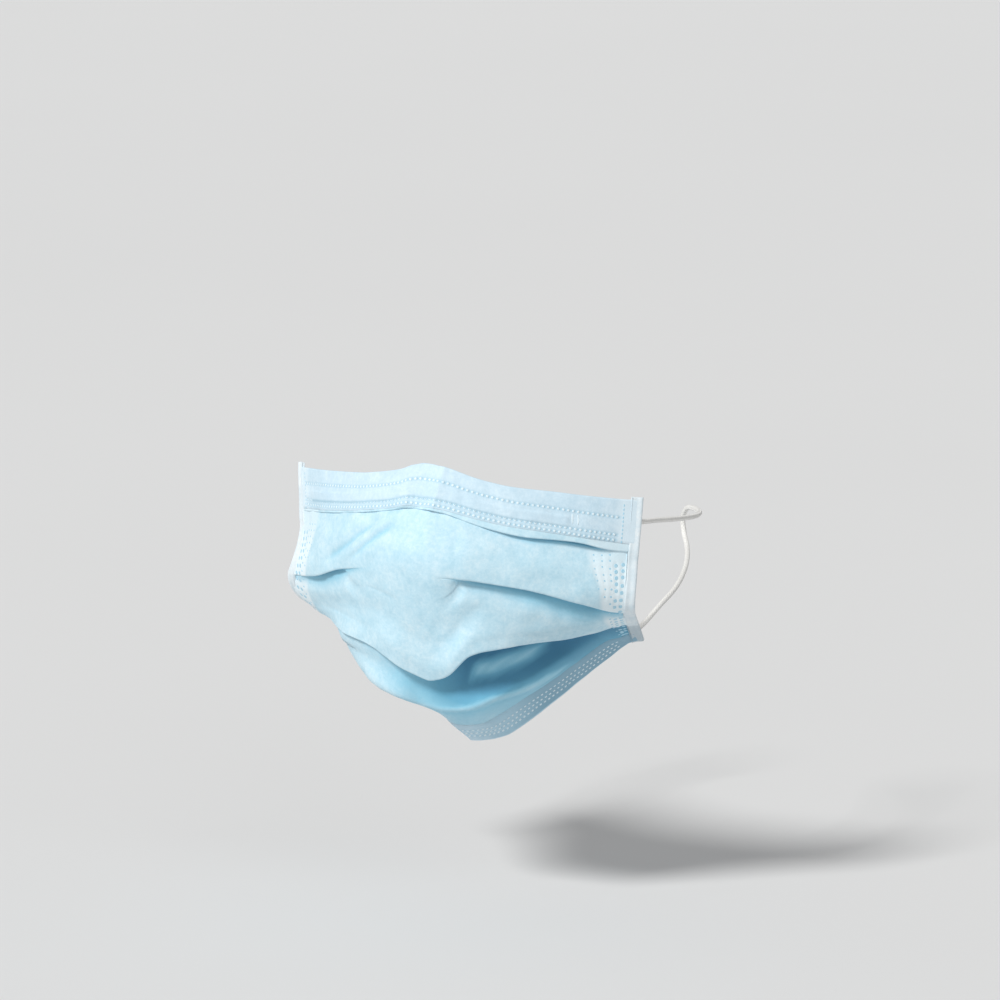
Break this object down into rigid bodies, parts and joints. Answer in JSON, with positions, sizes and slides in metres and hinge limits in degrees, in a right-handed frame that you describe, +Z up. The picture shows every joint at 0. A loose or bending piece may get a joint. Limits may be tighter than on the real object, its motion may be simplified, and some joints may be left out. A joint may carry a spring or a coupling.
{
  "type": "surgical face mask",
  "caption": "Pleated cloth face mask in its worn form, with pale turned hems, a nose wire, bound side edges and a round elastic loop at each side.",
  "frame": {"origin": "the middle of the top edge of the cloth, where the mask sits on the bridge of the nose", "axes": "+Z up, the wearer looks along -Y, +X towards the wearer's left"},
  "size_m": [0.1598, 0.177, 0.1236],
  "materials": {
    "blue_spunbond": "matte light blue nonwoven",
    "white_lining": "matte white nonwoven",
    "pale_hem": "thin white nonwoven over blue",
    "binding_cloth": "soft white nonwoven strip",
    "wire_coat": "white plastic over wire",
    "ear_elastic": "round knitted elastic"
  },
  "bodies": {
    "root": {"outer_ply": "blue_spunbond", "inner_ply": "white_lining", "top_hem": "pale_hem", "bottom_hem": "pale_hem", "nose_wire": "wire_coat", "side_binding_left": "binding_cloth", "side_binding_right": "binding_cloth", "ear_loop_left": "ear_elastic", "ear_loop_right": "ear_elastic"}
  },
  "joints": []
}
